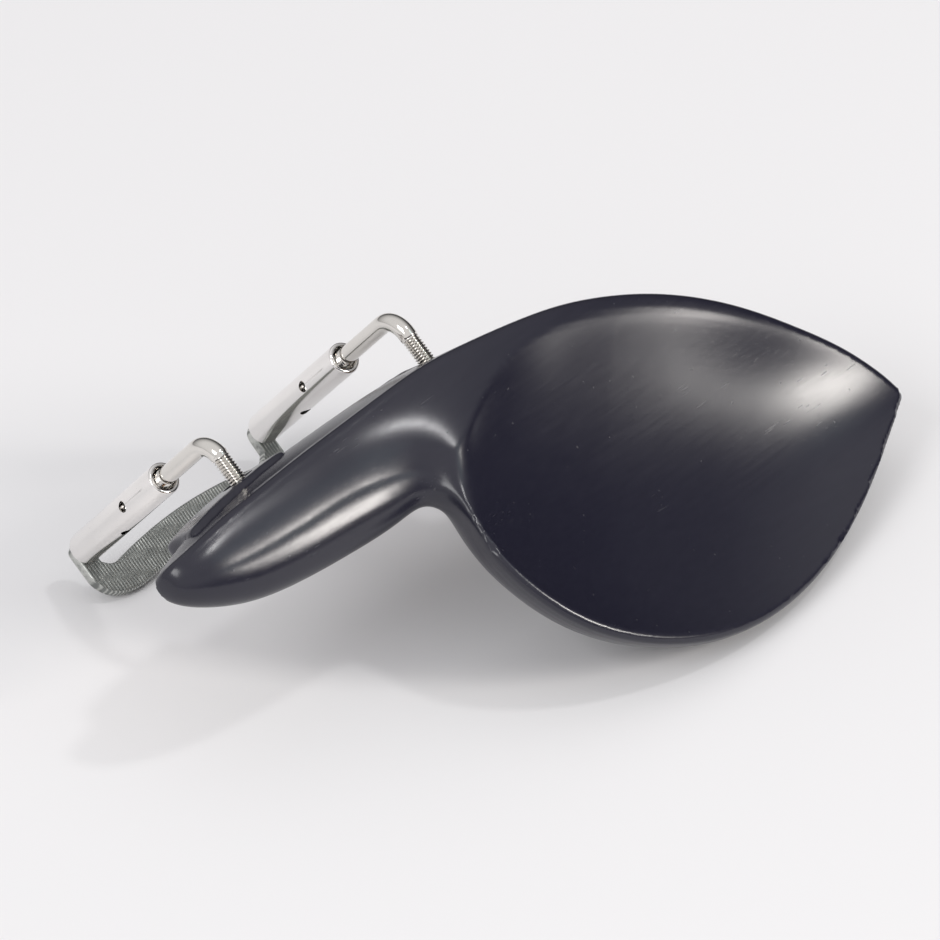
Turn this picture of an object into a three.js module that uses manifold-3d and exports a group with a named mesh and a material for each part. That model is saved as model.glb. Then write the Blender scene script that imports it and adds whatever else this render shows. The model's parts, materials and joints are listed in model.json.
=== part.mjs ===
// A violin chin rest: a carved ebony cup and arm, held to the violin's edge by a clamp with two
// turnbuckle barrels. Millimetres. It is designed as it is used, with X to the player's right,
// Y towards the scroll and Z up from the violin's top, and then laid down as on a table.
import * as THREE from 'three';
import { mergeVertices } from 'three/addons/utils/BufferGeometryUtils.js';
import Module from 'manifold-3d';

const wasm = await Module();
wasm.setup();

// ---- clamp ---------------------------------------------------------------------------------------
const barrelSpacing = 42;
const barrelLength = 30;
const barrelRadius = 2.7;
const barrelEdge = 0.5;
const barrelTop = -7.8;
const boreRadius = 1.8;
const keyHoleRadius = 0.95;
const keyHoles = [{ drop: 10.4, turn: -15 }, { drop: 16.2, turn: 75 }];
const rodRadius = 1.5;
const rodInBarrel = 12;
const hookBend = 3.6;
const hookTipY = 17;
const hooks = {
  left: { x: -barrelSpacing / 2, height: 9.0 },
  right: { x: barrelSpacing / 2, height: 7.6 },
};
const footGap = 0.3;
const footThickness = 2;
const footBandWidth = 6.2;
const footInnerY = 10;
const footBow = 1.8;
const footCorner = 6.6;
const footEndTaper = 7.9;
const footBevel = 0.4;
const footLegHalf = 1.6;
const footNeck = 3;
const footNeckRise = 0.7;
const footHalfLength = barrelSpacing / 2 + footLegHalf;

// ---- wooden plate --------------------------------------------------------------------------------
const padTop = 2.5;
const padThickness = 2.2;
const padGap = 0.3;
const padMargin = 1.5;
const padCorner = 2.5;
const padStartY = 12;
const feet = {
  left: { x: -23, halfLength: 10.5, rootZ: 14, draft: 0.6 },
  right: { x: 25, halfLength: 11.5, rootZ: 11, draft: 0.8 },
};
const footReachY = 20.5;
const footRound = 4;
const wallRound = 1.3;
const hookHoleRadius = 1.9;
const hookHoleDepth = 9.5;
const sinkRadius = 2.8;
const sinkDepth = 1.2;
const stationSteps = 58;
const topSteps = 12;
const bottomSteps = 9;
const hollowWall = 0.62;
const hollowFall = 2.2;
const hollowLip = 0.04;
const hollowFloorShare = 0.77;

// The plate's sections, from the rounded end of the arm to the tip of the cup. Each joins a point
// on the rim-side edge to a point on the inner edge. over and drop round the top into the inner
// edge, under and rimUnder round the edges into the underside, deep is the wood's depth, draft is
// how far the foot of the rim-side wall stands out, and hollow starts at the share start across.
const sections = [
  { rim: [45.4, 14.2, 8.8], inner: [45.5, 15.4, 8.7], over: 0.5, drop: 0.6, under: 0.5,
    rimUnder: 0.4, deep: 1.4 },
  { rim: [44.3, 13.2, 11.4], inner: [44.6, 18.2, 10.4], crown: 0.8, over: 2.5, drop: 2.6, under: 2,
    rimUnder: 0.9, deep: 3.6, draft: 0.4 },
  { rim: [40.5, 12.6, 13.4], inner: [41.0, 21.4, 11.7], crown: 1.6, over: 5, drop: 4, under: 3,
    rimUnder: 0.8, deep: 5, draft: 1.2 },
  { rim: [33.8, 11.7, 14.9], inner: [34.0, 24.6, 12.8], crown: 1.7, over: 7, drop: 4.6, under: 3.5,
    rimUnder: 0.8, deep: 5.6, draft: 2.0 },
  { rim: [25.5, 11.1, 16.0], inner: [25.0, 26.4, 13.8], crown: 1.9, over: 7, drop: 4.8, under: 4,
    rimUnder: 0.8, deep: 6, draft: 2.6 },
  { rim: [15.5, 10.5, 17.0], inner: [15.0, 27.3, 15.0], crown: 2.0, over: 7.5, drop: 4.8, under: 4,
    rimUnder: 0.8, deep: 6.6, draft: 2.7 },
  { rim: [5.5, 10.1, 18.0], inner: [6.5, 27.6, 16.6], crown: 1.8, over: 6.5, drop: 4.5, under: 4,
    rimUnder: 0.8, deep: 7.2, draft: 2.5 },
  { rim: [-4.0, 9.8, 19.2], inner: [1.0, 28.0, 19.0], crown: 1.8, over: 4, drop: 3.6, under: 6,
    rimUnder: 0.8, deep: 8, draft: 2.2 },
  { rim: [-12.0, 9.8, 20.3], inner: [0.0, 32.0, 22.2], crown: 1.2, over: 2, drop: 1.6, under: 10,
    rimUnder: 1, deep: 8.6, draft: 1.8, hollow: 0.6, start: 0.6 },
  { rim: [-20.5, 10.7, 21.3], inner: [1.2, 39.0, 23.8], crown: 0.8, over: 1.3, drop: 1, under: 13,
    rimUnder: 1.2, deep: 8.8, draft: 1.4, hollow: 2.2, start: 0.33 },
  { rim: [-29.5, 12.1, 22.0], inner: [0.2, 46.8, 24.0], crown: 0.5, over: 1.3, drop: 1, under: 13,
    rimUnder: 2, deep: 8.8, draft: 1.0, hollow: 4.0, start: 0.12 },
  { rim: [-39.0, 14.1, 22.4], inner: [-4.4, 56.0, 23.4], crown: 0.2, over: 1.3, drop: 1, under: 12,
    rimUnder: 5, deep: 8.6, draft: 0.4, hollow: 5.6, start: 0.06 },
  { rim: [-49.0, 17.5, 22.2], inner: [-12.8, 64.2, 22.3], over: 1.3, drop: 1, under: 11,
    rimUnder: 7, deep: 8.2, hollow: 6.8, start: 0.04 },
  { rim: [-59.0, 22.5, 21.7], inner: [-25.0, 70.6, 21.0], over: 1.3, drop: 1, under: 9.5,
    rimUnder: 7, deep: 7.8, hollow: 7.5, start: 0.03 },
  { rim: [-69.0, 29.6, 20.7], inner: [-40.0, 73.4, 19.4], over: 1.3, drop: 1, under: 8,
    rimUnder: 6.5, deep: 7.2, hollow: 7.3, start: 0.03 },
  { rim: [-78.0, 37.9, 19.0], inner: [-56.0, 71.8, 18.1], over: 1.2, drop: 1, under: 7,
    rimUnder: 6, deep: 6.6, hollow: 5.5, start: 0.02 },
  { rim: [-85.0, 45.8, 17.5], inner: [-71.5, 66.6, 16.9], over: 1.1, drop: 0.9, under: 5.5,
    rimUnder: 5, deep: 6, hollow: 2.8, start: 0.02 },
  { rim: [-89.4, 52.8, 16.1], inner: [-83.0, 61.0, 16.0], over: 0.9, drop: 0.8, under: 3,
    rimUnder: 3, deep: 5, hollow: 0.8, start: 0.02 },
  { rim: [-90.7, 56.2, 15.4], inner: [-90.1, 57.3, 15.4], over: 0.3, drop: 0.4, under: 0.4,
    rimUnder: 0.4, deep: 2.6 },
];

const ebony = { color: 0x15161a, roughness: 0.35, metalness: 0 };
const cork = { color: 0xb58a5c, roughness: 0.9, metalness: 0 };
const nickel = { color: 0xd9d6d0, roughness: 0.12, metalness: 1 };
const ribbedNickel = { color: 0x9b9d9a, roughness: 0.35, metalness: 1 };

const clamp01 = (value) => Math.min(1, Math.max(0, value));

function namedMesh(name, geometry, look) {
  const mesh = new THREE.Mesh(geometry, new THREE.MeshStandardMaterial(look));
  mesh.name = name;
  return mesh;
}

function toSolid(geometry) {
  let shell = geometry.clone();
  shell.deleteAttribute('normal');
  shell.deleteAttribute('uv');
  shell = mergeVertices(shell, 1e-4);
  const vertProperties = new Float32Array(shell.attributes.position.array);
  const triVerts = new Uint32Array(shell.index.array);
  return new wasm.Manifold(new wasm.Mesh({ numProp: 3, vertProperties, triVerts }));
}

function toGeometry(solid) {
  const { vertProperties, triVerts } = solid.getMesh();
  const geometry = new THREE.BufferGeometry();
  geometry.setAttribute('position', new THREE.BufferAttribute(vertProperties, 3));
  geometry.setIndex(new THREE.BufferAttribute(triVerts, 1));
  return geometry;
}

// A plain cylinder about `centre`, along X, Y or Z.
function cylinder(radius, length, centre, along, sides = 20) {
  const geometry = new THREE.CylinderGeometry(radius, radius, length, sides);
  if (along === 'x') geometry.rotateZ(Math.PI / 2);
  if (along === 'z') geometry.rotateX(Math.PI / 2);
  geometry.translate(...centre);
  return geometry;
}

// ---- the plate -----------------------------------------------------------------------------------
const edgeCurve = (edge) =>
  new THREE.CatmullRomCurve3(sections.map((section) => new THREE.Vector3(...section[edge])));
const rimCurve = edgeCurve('rim');
const innerCurve = edgeCurve('inner');

// A value of the sections at station t, in even steps from one section to the next.
function sectionValue(name, t) {
  const place = t * (sections.length - 1);
  const first = Math.min(Math.floor(place), sections.length - 2);
  const from = sections[first][name] ?? 0;
  const to = sections[first + 1][name] ?? 0;
  return from + (to - from) * (place - first);
}

// How far the bowl is hollowed at station t and share q of the way across. It falls ever more gently
// over the share hollowWall of the bowl's width, and then its floor rises slowly to the inner edge.
// The share hollowLip rounds its upper lip.
function hollowDepth(t, q) {
  const start = sectionValue('start', t);
  const s = clamp01((q - start) / (1 - start));
  const still = clamp01(1 - (s * s) / (s + hollowLip) / hollowWall);
  return sectionValue('hollow', t) * (1 - still ** hollowFall) * (1 - s ** 4);
}

// The underside follows the top at the wood's depth, and shares most of the bowl's hollow.
function undersideHeight(t, q, topEdgeHeight) {
  return topEdgeHeight - sectionValue('deep', t) - hollowFloorShare * hollowDepth(t, q);
}

// The closed loop of points around the plate at station t: over the top from the rim side, down the
// inner edge, back under it, and up the rim-side wall.
function plateLoop(t) {
  const rim = rimCurve.getPoint(t);
  const inner = innerCurve.getPoint(t);
  const width = rim.distanceTo(inner);
  const across = (q) => new THREE.Vector3().lerpVectors(rim, inner, q);
  const top = (q) => across(q).z + sectionValue('crown', t) * 4 * q * (1 - q) - hollowDepth(t, q);
  const bottom = (q) => undersideHeight(t, q, across(q).z);
  const share = (name) => Math.min(sectionValue(name, t) / width, 0.45);
  const loop = [];
  const put = (q, z) => {
    const point = across(q);
    loop.push(point.setZ(z));
    return point;
  };
  const topStart = Math.min(wallRound / width, 0.3);
  const topEnd = 1 - share('over');
  for (let i = 0; i <= topSteps; i += 1) {
    const q = topStart + (topEnd - topStart) * (i / topSteps);
    put(q, top(q));
  }
  const waist = top(topEnd) - sectionValue('drop', t);
  const bottomEnd = 1 - share('under');
  const quarters = [0.25, 0.5, 0.75, 1].map((part) => part * (Math.PI / 2));
  for (const angle of quarters) {
    put(topEnd + share('over') * Math.sin(angle), waist + sectionValue('drop', t) * Math.cos(angle));
  }
  for (const angle of quarters) {
    put(1 - share('under') * (1 - Math.cos(angle)), waist - (waist - bottom(bottomEnd)) * Math.sin(angle));
  }
  const bottomStart = share('rimUnder');
  for (let i = 1; i <= bottomSteps; i += 1) {
    const q = bottomEnd + (bottomStart - bottomEnd) * (i / bottomSteps);
    put(q, bottom(q));
  }
  const wallTop = top(topStart) - wallRound;
  const wallFoot = bottom(bottomStart);
  for (const angle of quarters) {
    const rise = 1 - Math.cos(angle);
    const point = put(bottomStart * (1 - Math.sin(angle)), wallFoot + (wallTop - wallFoot) * rise);
    point.y -= sectionValue('draft', t) * (1 - rise);
  }
  put(topStart * 0.3, wallTop + wallRound * 0.7);
  return loop;
}

function plateShell() {
  const loops = [];
  for (let i = 0; i <= stationSteps; i += 1) loops.push(plateLoop(i / stationSteps));
  const size = loops[0].length;
  const centre = (loop) => {
    const sum = loop.reduce((total, point) => total.add(point), new THREE.Vector3());
    return sum.divideScalar(size);
  };
  const points = [...loops.flat(), centre(loops[0]), centre(loops.at(-1))];
  const triangles = [];
  for (let i = 0; i < stationSteps; i += 1) {
    for (let j = 0; j < size; j += 1) {
      const next = (j + 1) % size;
      const [a, b, c, d] = [i * size + j, i * size + next, (i + 1) * size + next, (i + 1) * size + j];
      triangles.push(a, b, c, a, c, d);
    }
  }
  const last = stationSteps * size;
  for (let j = 0; j < size; j += 1) {
    const next = (j + 1) % size;
    triangles.push(points.length - 2, next, j);
    triangles.push(points.length - 1, last + j, last + next);
  }
  const geometry = new THREE.BufferGeometry();
  const coordinates = points.flatMap((point) => point.toArray());
  geometry.setAttribute('position', new THREE.Float32BufferAttribute(coordinates, 3));
  geometry.setIndex(triangles);
  return geometry;
}

// The station where the rim-side edge is at x, found by halving.
function stationAt(x) {
  let [low, high] = [0, 1];
  for (let i = 0; i < 30; i += 1) {
    const middle = (low + high) / 2;
    if (rimCurve.getPoint(middle).x > x) low = middle;
    else high = middle;
  }
  return low;
}

// How far in the foot of the rim-side wall is at x.
function wallFootY(x) {
  const t = stationAt(x);
  return rimCurve.getPoint(t).y - sectionValue('draft', t);
}

// A wooden foot under the plate. Its outer side goes on from the rim-side wall, and stands out by
// its draft at the bottom.
function footBlock(foot) {
  const [x0, x1] = [foot.x - foot.halfLength, foot.x + foot.halfLength];
  const shape = new THREE.Shape();
  shape.moveTo(x0, wallFootY(x0));
  const wallSteps = 8;
  for (let i = 1; i <= wallSteps; i += 1) {
    const x = x0 + (x1 - x0) * (i / wallSteps);
    shape.lineTo(x, wallFootY(x));
  }
  shape.absarc(x1 - footRound, footReachY - footRound, footRound, 0, Math.PI / 2);
  shape.absarc(x0 + footRound, footReachY - footRound, footRound, Math.PI / 2, Math.PI);
  const depth = foot.rootZ - padTop;
  const geometry = new THREE.ExtrudeGeometry(shape, { depth, curveSegments: 6, bevelEnabled: false });
  geometry.translate(0, 0, padTop);
  const { position } = geometry.attributes;
  for (let i = 0; i < position.count; i += 1) {
    const share = clamp01(1 - (position.getZ(i) - padTop) / depth);
    const onWall = position.getY(i) < wallFootY(position.getX(i)) + wallRound;
    if (onWall) position.setY(i, position.getY(i) - foot.draft * share);
  }
  return geometry;
}

function chinPlate() {
  let solid = toSolid(plateShell());
  for (const foot of Object.values(feet)) solid = solid.add(toSolid(footBlock(foot)));
  for (const hook of Object.values(hooks)) {
    const wall = wallFootY(hook.x);
    const drill = (radius, depth) => {
      const length = depth + barrelRadius;
      const middle = wall + depth - length / 2;
      return toSolid(cylinder(radius, length, [hook.x, middle, hook.height], 'y'));
    };
    solid = solid.subtract(drill(hookHoleRadius, hookHoleDepth)).subtract(drill(sinkRadius, sinkDepth));
  }
  return toGeometry(solid);
}

// ---- cork pads -----------------------------------------------------------------------------------
function corkPad(foot) {
  const halfX = foot.halfLength - padMargin;
  const y0 = padStartY;
  const y1 = footReachY - padMargin / 2;
  const shape = new THREE.Shape();
  shape.moveTo(foot.x - halfX + padCorner, y0);
  shape.lineTo(foot.x + halfX - padCorner, y0);
  shape.absarc(foot.x + halfX - padCorner, y0 + padCorner, padCorner, -Math.PI / 2, 0);
  shape.absarc(foot.x + halfX - padCorner, y1 - padCorner, padCorner, 0, Math.PI / 2);
  shape.absarc(foot.x - halfX + padCorner, y1 - padCorner, padCorner, Math.PI / 2, Math.PI);
  shape.absarc(foot.x - halfX + padCorner, y0 + padCorner, padCorner, Math.PI, Math.PI * 1.5);
  return new THREE.ExtrudeGeometry(shape, { depth: padThickness, bevelEnabled: false, curveSegments: 5 });
}

// ---- clamp parts ---------------------------------------------------------------------------------
// A quarter turn from the rod going up (+Z) to the leg going inwards (+Y).
class HookBend extends THREE.Curve {
  constructor(x, top) {
    super();
    this.x = x;
    this.top = top;
  }

  getPoint(t, target = new THREE.Vector3()) {
    const angle = (t * Math.PI) / 2;
    const y = hookBend * (1 - Math.cos(angle));
    return target.set(this.x, y, this.top - hookBend * (1 - Math.sin(angle)));
  }
}

function hookRod(hook) {
  const bendStart = hook.height - hookBend;
  const path = new THREE.CurvePath();
  path.add(new THREE.LineCurve3(
    new THREE.Vector3(hook.x, 0, barrelTop - rodInBarrel),
    new THREE.Vector3(hook.x, 0, bendStart),
  ));
  path.add(new HookBend(hook.x, hook.height));
  path.add(new THREE.LineCurve3(
    new THREE.Vector3(hook.x, hookBend, hook.height),
    new THREE.Vector3(hook.x, hookTipY, hook.height),
  ));
  const round = new THREE.Shape();
  round.absarc(0, 0, rodRadius, 0, Math.PI * 2);
  return new THREE.ExtrudeGeometry(round, {
    steps: 36, curveSegments: 14, extrudePath: path, bevelEnabled: false,
  });
}

function barrel(hook) {
  const low = barrelTop - barrelLength;
  const profile = [
    [boreRadius, low], [barrelRadius - barrelEdge, low], [barrelRadius, low + barrelEdge],
    [barrelRadius, barrelTop - barrelEdge], [barrelRadius - barrelEdge, barrelTop], [boreRadius, barrelTop],
    [boreRadius, low],
  ].map(([radius, height]) => new THREE.Vector2(radius, height));
  const tube = new THREE.LatheGeometry(profile, 28);
  tube.rotateX(Math.PI / 2);
  let solid = toSolid(tube);
  for (const keyHole of keyHoles) {
    const through = cylinder(keyHoleRadius, barrelRadius * 3, [0, 0, barrelTop - keyHole.drop], 'x', 14);
    through.rotateZ(THREE.MathUtils.degToRad(keyHole.turn));
    solid = solid.subtract(toSolid(through));
  }
  const geometry = toGeometry(solid);
  geometry.translate(hook.x, 0, 0);
  return geometry;
}

// The one-piece lower foot: two threaded legs on a flat bowed band.
function clampFoot() {
  const top = barrelTop - barrelLength - footGap;
  const legInnerX = barrelSpacing / 2 - footLegHalf;
  const outerY = footInnerY - footBandWidth;
  const bandEnd = footHalfLength - footEndTaper;
  const shape = new THREE.Shape();
  shape.moveTo(footHalfLength, 0);
  shape.lineTo(footHalfLength, footInnerY - footCorner);
  shape.quadraticCurveTo(footHalfLength, footInnerY, bandEnd, footInnerY);
  shape.quadraticCurveTo(0, footInnerY - footBow, -bandEnd, footInnerY);
  shape.quadraticCurveTo(-footHalfLength, footInnerY, -footHalfLength, footInnerY - footCorner);
  shape.lineTo(-footHalfLength, 0);
  shape.absarc(-barrelSpacing / 2, 0, footLegHalf, Math.PI, Math.PI * 2);
  shape.lineTo(-legInnerX, outerY - 1);
  shape.quadraticCurveTo(-legInnerX, outerY + footNeckRise, -legInnerX + footNeck, outerY + footNeckRise);
  shape.quadraticCurveTo(0, outerY - footBow - footNeckRise, legInnerX - footNeck, outerY + footNeckRise);
  shape.quadraticCurveTo(legInnerX, outerY + footNeckRise, legInnerX, outerY - 1);
  shape.lineTo(legInnerX, 0);
  shape.absarc(barrelSpacing / 2, 0, footLegHalf, Math.PI, Math.PI * 2);
  const band = new THREE.ExtrudeGeometry(shape, {
    depth: footThickness - 2 * footBevel, curveSegments: 10, bevelEnabled: true, bevelSegments: 2,
    bevelThickness: footBevel, bevelSize: footBevel, bevelOffset: -footBevel,
  });
  band.translate(0, 0, top - footThickness + footBevel);
  let solid = toSolid(band);
  const legLength = rodInBarrel + footGap + footThickness / 2;
  for (const hook of Object.values(hooks)) {
    const centre = [hook.x, 0, top - footThickness / 2 + legLength / 2];
    solid = solid.add(toSolid(cylinder(rodRadius, legLength, centre, 'z', 18)));
  }
  return toGeometry(solid);
}

// ---- assembly ------------------------------------------------------------------------------------
const chinRest = new THREE.Group();
chinRest.add(namedMesh('chin_plate', chinPlate(), ebony));
for (const side of ['left', 'right']) {
  const pad = namedMesh(`cork_pad_${side}`, corkPad(feet[side]), cork);
  pad.position.z = padTop - padGap - padThickness;
  chinRest.add(pad);
  chinRest.add(namedMesh(`hook_${side}`, hookRod(hooks[side]), nickel));
  chinRest.add(namedMesh(`barrel_${side}`, barrel(hooks[side]), nickel));
}
chinRest.add(namedMesh('clamp_foot', clampFoot(), ribbedNickel));

// ---- how it lies on the table --------------------------------------------------------------------
// Put down cup up, it rests on the inner edge of the clamp foot and on the belly of the cup. This
// is the roll about X that brings both to the same height, found by halving.
function restingRoll() {
  const lowest = (name, angle) => {
    const { array } = chinRest.getObjectByName(name).geometry.attributes.position;
    let low = Infinity;
    for (let i = 0; i < array.length; i += 3) {
      low = Math.min(low, array[i + 1] * Math.sin(angle) + array[i + 2] * Math.cos(angle));
    }
    return low;
  };
  let [flat, steep] = [0, -Math.PI / 2];
  for (let i = 0; i < 40; i += 1) {
    const middle = (flat + steep) / 2;
    if (lowest('clamp_foot', middle) < lowest('chin_plate', middle)) flat = middle;
    else steep = middle;
  }
  return flat;
}

// The origin is on the table under the middle of the object, and the player's side faces +Y.
const laid = new THREE.Group();
chinRest.rotation.x = restingRoll();
laid.add(chinRest);
laid.rotation.z = Math.PI;
laid.updateMatrixWorld(true);
const box = new THREE.Box3().setFromObject(laid, true);
const middle = box.getCenter(new THREE.Vector3());
laid.position.set(-middle.x, -middle.y, -box.min.z);

export default laid;
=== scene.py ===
# %% [markdown]
# # A violin chin rest
# The real object is a carved ebony cup with a side arm. Two cork pads keep it off the violin's top,
# and a clamp with two turnbuckle barrels grips the violin's edge. The design and the joints come
# packed as a frame; this lesson builds the surfaces that the eye sees around it.

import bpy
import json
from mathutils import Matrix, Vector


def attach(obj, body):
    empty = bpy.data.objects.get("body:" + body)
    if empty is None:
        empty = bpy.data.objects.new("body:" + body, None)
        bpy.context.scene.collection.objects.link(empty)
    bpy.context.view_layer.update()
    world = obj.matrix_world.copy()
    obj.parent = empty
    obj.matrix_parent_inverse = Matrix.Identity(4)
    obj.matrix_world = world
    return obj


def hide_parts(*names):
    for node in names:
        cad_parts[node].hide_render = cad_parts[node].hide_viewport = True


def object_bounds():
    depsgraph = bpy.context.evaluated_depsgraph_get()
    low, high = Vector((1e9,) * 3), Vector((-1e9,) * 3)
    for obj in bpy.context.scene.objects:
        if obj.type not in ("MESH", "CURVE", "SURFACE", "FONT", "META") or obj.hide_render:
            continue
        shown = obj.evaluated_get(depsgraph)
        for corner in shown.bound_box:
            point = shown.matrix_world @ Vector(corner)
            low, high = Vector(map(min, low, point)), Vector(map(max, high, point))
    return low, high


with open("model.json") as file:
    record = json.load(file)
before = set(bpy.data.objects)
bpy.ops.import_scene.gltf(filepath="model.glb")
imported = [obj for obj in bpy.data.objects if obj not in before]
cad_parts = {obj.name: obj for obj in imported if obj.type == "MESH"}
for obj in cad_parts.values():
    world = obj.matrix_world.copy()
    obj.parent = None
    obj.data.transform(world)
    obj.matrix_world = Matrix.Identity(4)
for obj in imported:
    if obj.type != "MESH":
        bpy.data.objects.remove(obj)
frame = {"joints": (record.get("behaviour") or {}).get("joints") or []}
cad_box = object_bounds()
print("the frame's box, in mm:", [[round(v * 1000, 1) for v in corner] for corner in cad_box])

# %% Tools
import json
import math

import bpy
import numpy as np
from mathutils import Matrix, Vector
from mathutils.bvhtree import BVHTree

# %% [markdown]
# The rest lies on a table, rolled back on its clamp, so nothing in it is level. It is far easier to
# shape as it is used: X to the player's right, Y towards the scroll, Z up from the violin's top, in
# millimetres. The two barrels' joints give that frame: their axis is up, and the line from the
# left barrel to the right one is the player's right.

# %% The frame of use
MM = 0.001
JOINT_HEIGHT = -22.8
joints = {joint["name"]: joint for joint in frame["joints"]}
left_joint = Vector(joints["barrel_left_turn"]["pos_m"])
right_joint = Vector(joints["barrel_right_turn"]["pos_m"])
up = Vector(joints["barrel_left_turn"]["axis"]).normalized()
right = (right_joint - left_joint).normalized()
scroll = up.cross(right)
origin = (left_joint + right_joint) / 2 - up * JOINT_HEIGHT * MM
TURN = Matrix((right, scroll, up)).transposed().to_4x4()
PLACE = Matrix.Translation(origin) @ TURN @ Matrix.Scale(MM, 4)
BARREL_X = (right_joint - left_joint).length / MM / 2
roll = math.degrees(math.acos(up.z))
print(f"the barrels stand {2 * BARREL_X:.1f} mm apart, and the roll is {roll:.1f} degrees")

# %% [markdown]
# Every piece below is a list of points and faces in that frame. One helper turns them into an
# object: it places the points, turns the faces outwards, and keeps an edge sharp where two faces
# meet at a clear angle. The points' own coordinates stay with the mesh as an attribute, so that
# grain and ribs in the materials are measured in millimetres along the piece.

# %% Make an object from points and faces
import bmesh

SHARP = math.radians(38)
WELD = 1e-4


def build(name, points, faces):
    mesh = bpy.data.meshes.new(name)
    corners = [tuple(int(i) for i in face) for face in faces]
    mesh.from_pydata([tuple(point) for point in points], [], corners)
    piece = bpy.data.objects.new(name, mesh)
    bpy.context.scene.collection.objects.link(piece)
    return piece


def clean(piece):
    """Merges doubled points and turns every face outwards."""
    work = bmesh.new()
    work.from_mesh(piece.data)
    bmesh.ops.remove_doubles(work, verts=work.verts, dist=WELD)
    bmesh.ops.recalc_face_normals(work, faces=work.faces)
    work.to_mesh(piece.data)
    work.free()
    return piece


def apply_modifiers(piece):
    """Makes the modifiers' result the piece's own mesh."""
    bpy.context.view_layer.update()
    evaluated = piece.evaluated_get(bpy.context.evaluated_depsgraph_get())
    result = bpy.data.meshes.new_from_object(evaluated)
    piece.modifiers.clear()
    piece.data = result
    return piece


def cut(piece, tool, operation="DIFFERENCE"):
    """Cuts the tool out of the piece, or joins it, and throws the tool away."""
    step = piece.modifiers.new("cut", "BOOLEAN")
    step.operation = operation
    step.solver = "EXACT"
    step.object = tool
    apply_modifiers(piece)
    bpy.data.objects.remove(tool)
    return piece


def settle(piece, material, body, node):
    """Gives a finished piece its shading, its place, its material and its body."""
    work = bmesh.new()
    work.from_mesh(piece.data)
    bmesh.ops.triangulate(work, faces=[face for face in work.faces if len(face.verts) > 4])
    for face in work.faces:
        face.smooth = True
    for edge in work.edges:
        edge.smooth = len(edge.link_faces) != 2 or edge.calc_face_angle(0) < SHARP
    work.to_mesh(piece.data)
    work.free()
    use = piece.data.attributes.new("use", "FLOAT_VECTOR", "POINT")
    flat = np.zeros(len(piece.data.vertices) * 3)
    piece.data.vertices.foreach_get("co", flat)
    use.data.foreach_set("vector", flat)
    piece.data.transform(PLACE)
    piece.data.materials.clear()
    piece.data.materials.append(material)
    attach(piece, body)
    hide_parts(node)
    print(f"{piece.name}: {len(piece.data.polygons)} faces, stands for {node}")
    return piece


# %% [markdown]
# Shader maths reads best as sums. A small wrapper holds a socket and turns +, - and * into Math
# nodes, also with a plain number on the left. The class Look makes any other node: its settings are
# set first, and then its sockets get values or links. It serves materials and the world alike.

# %% A wrapper for sockets
class Value:
    def __init__(self, look, socket):
        self.look = look
        self.socket = socket

    def math(self, operation, first, second=0.0):
        return self.look.node("ShaderNodeMath", {"operation": operation}, {0: first, 1: second})

    def __add__(self, other):
        return self.math("ADD", self, other)

    def __radd__(self, other):
        return self.math("ADD", other, self)

    def __sub__(self, other):
        return self.math("SUBTRACT", self, other)

    def __rsub__(self, other):
        return self.math("SUBTRACT", other, self)

    def __mul__(self, other):
        return self.math("MULTIPLY", self, other)

    def __rmul__(self, other):
        return self.math("MULTIPLY", other, self)


class Look:
    def __init__(self, name, kind=bpy.data.materials):
        self.owner = kind.new(name)
        self.owner.use_nodes = True
        self.tree = self.owner.node_tree
        self.tree.nodes.clear()

    def node(self, kind, settings=None, sockets=None, output=0):
        made = self.tree.nodes.new(kind)
        for name, value in (settings or {}).items():
            setattr(made, name, value)
        for key, value in (sockets or {}).items():
            if isinstance(value, Value):
                self.tree.links.new(value.socket, made.inputs[key])
            else:
                made.inputs[key].default_value = value
        return Value(self, made.outputs[output]) if made.outputs else None

    def use(self, stretch=(1, 1, 1)):
        """The piece's own millimetres, multiplied along each axis."""
        at = self.node("ShaderNodeAttribute", {"attribute_name": "use"}, output="Vector")
        return self.node("ShaderNodeVectorMath", {"operation": "MULTIPLY"}, {0: at, 1: stretch})

    def noise(self, stretch, detail=3.0, rough=0.5):
        """Smooth noise, whose grain is one millimetre divided by the stretch."""
        inputs = {"Vector": self.use(stretch), "Scale": 1.0, "Detail": detail, "Roughness": rough}
        return self.node("ShaderNodeTexNoise", {}, inputs)

    def step(self, value, low, high):
        """0 below low, 1 above high, and smooth between."""
        inputs = {"Value": value, "From Min": low, "From Max": high}
        return self.node("ShaderNodeMapRange", {"interpolation_type": "SMOOTHSTEP"}, inputs)

    def blend(self, factor, first, second):
        """The first colour where the factor is 0, and the second where it is 1."""
        inputs = {0: factor, 6: first, 7: second}
        return self.node("ShaderNodeMix", {"data_type": "RGBA"}, inputs, output=2)

    def bump(self, height, distance, strength=1.0):
        """A surface normal for a height; the distance is in millimetres."""
        inputs = {"Height": height, "Distance": distance * MM, "Strength": strength}
        return self.node("ShaderNodeBump", {}, inputs, "Normal")

    def finish(self, **sockets):
        """Joins the surface shader; a name's underscores stand for spaces."""
        inputs = {name.replace("_", " "): value for name, value in sockets.items()}
        surface = self.node("ShaderNodeBsdfPrincipled", {}, inputs)
        self.node("ShaderNodeOutputMaterial", {}, {"Surface": surface})
        print("finish", self.owner.name, "has", len(self.tree.nodes), "nodes")
        return self.owner


# %% [markdown]
# ## Finishes
# Ebony is nearly black, with a cold sheen where it is polished. Close up it has fine straight fibres
# that run along the arm, short open pores, and the hairline scratches and dust of use. The fibres
# and pores are noise stretched along X, and the scratches are the few tallest streaks of a longer
# one. They change roughness and height far more than colour.

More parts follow.
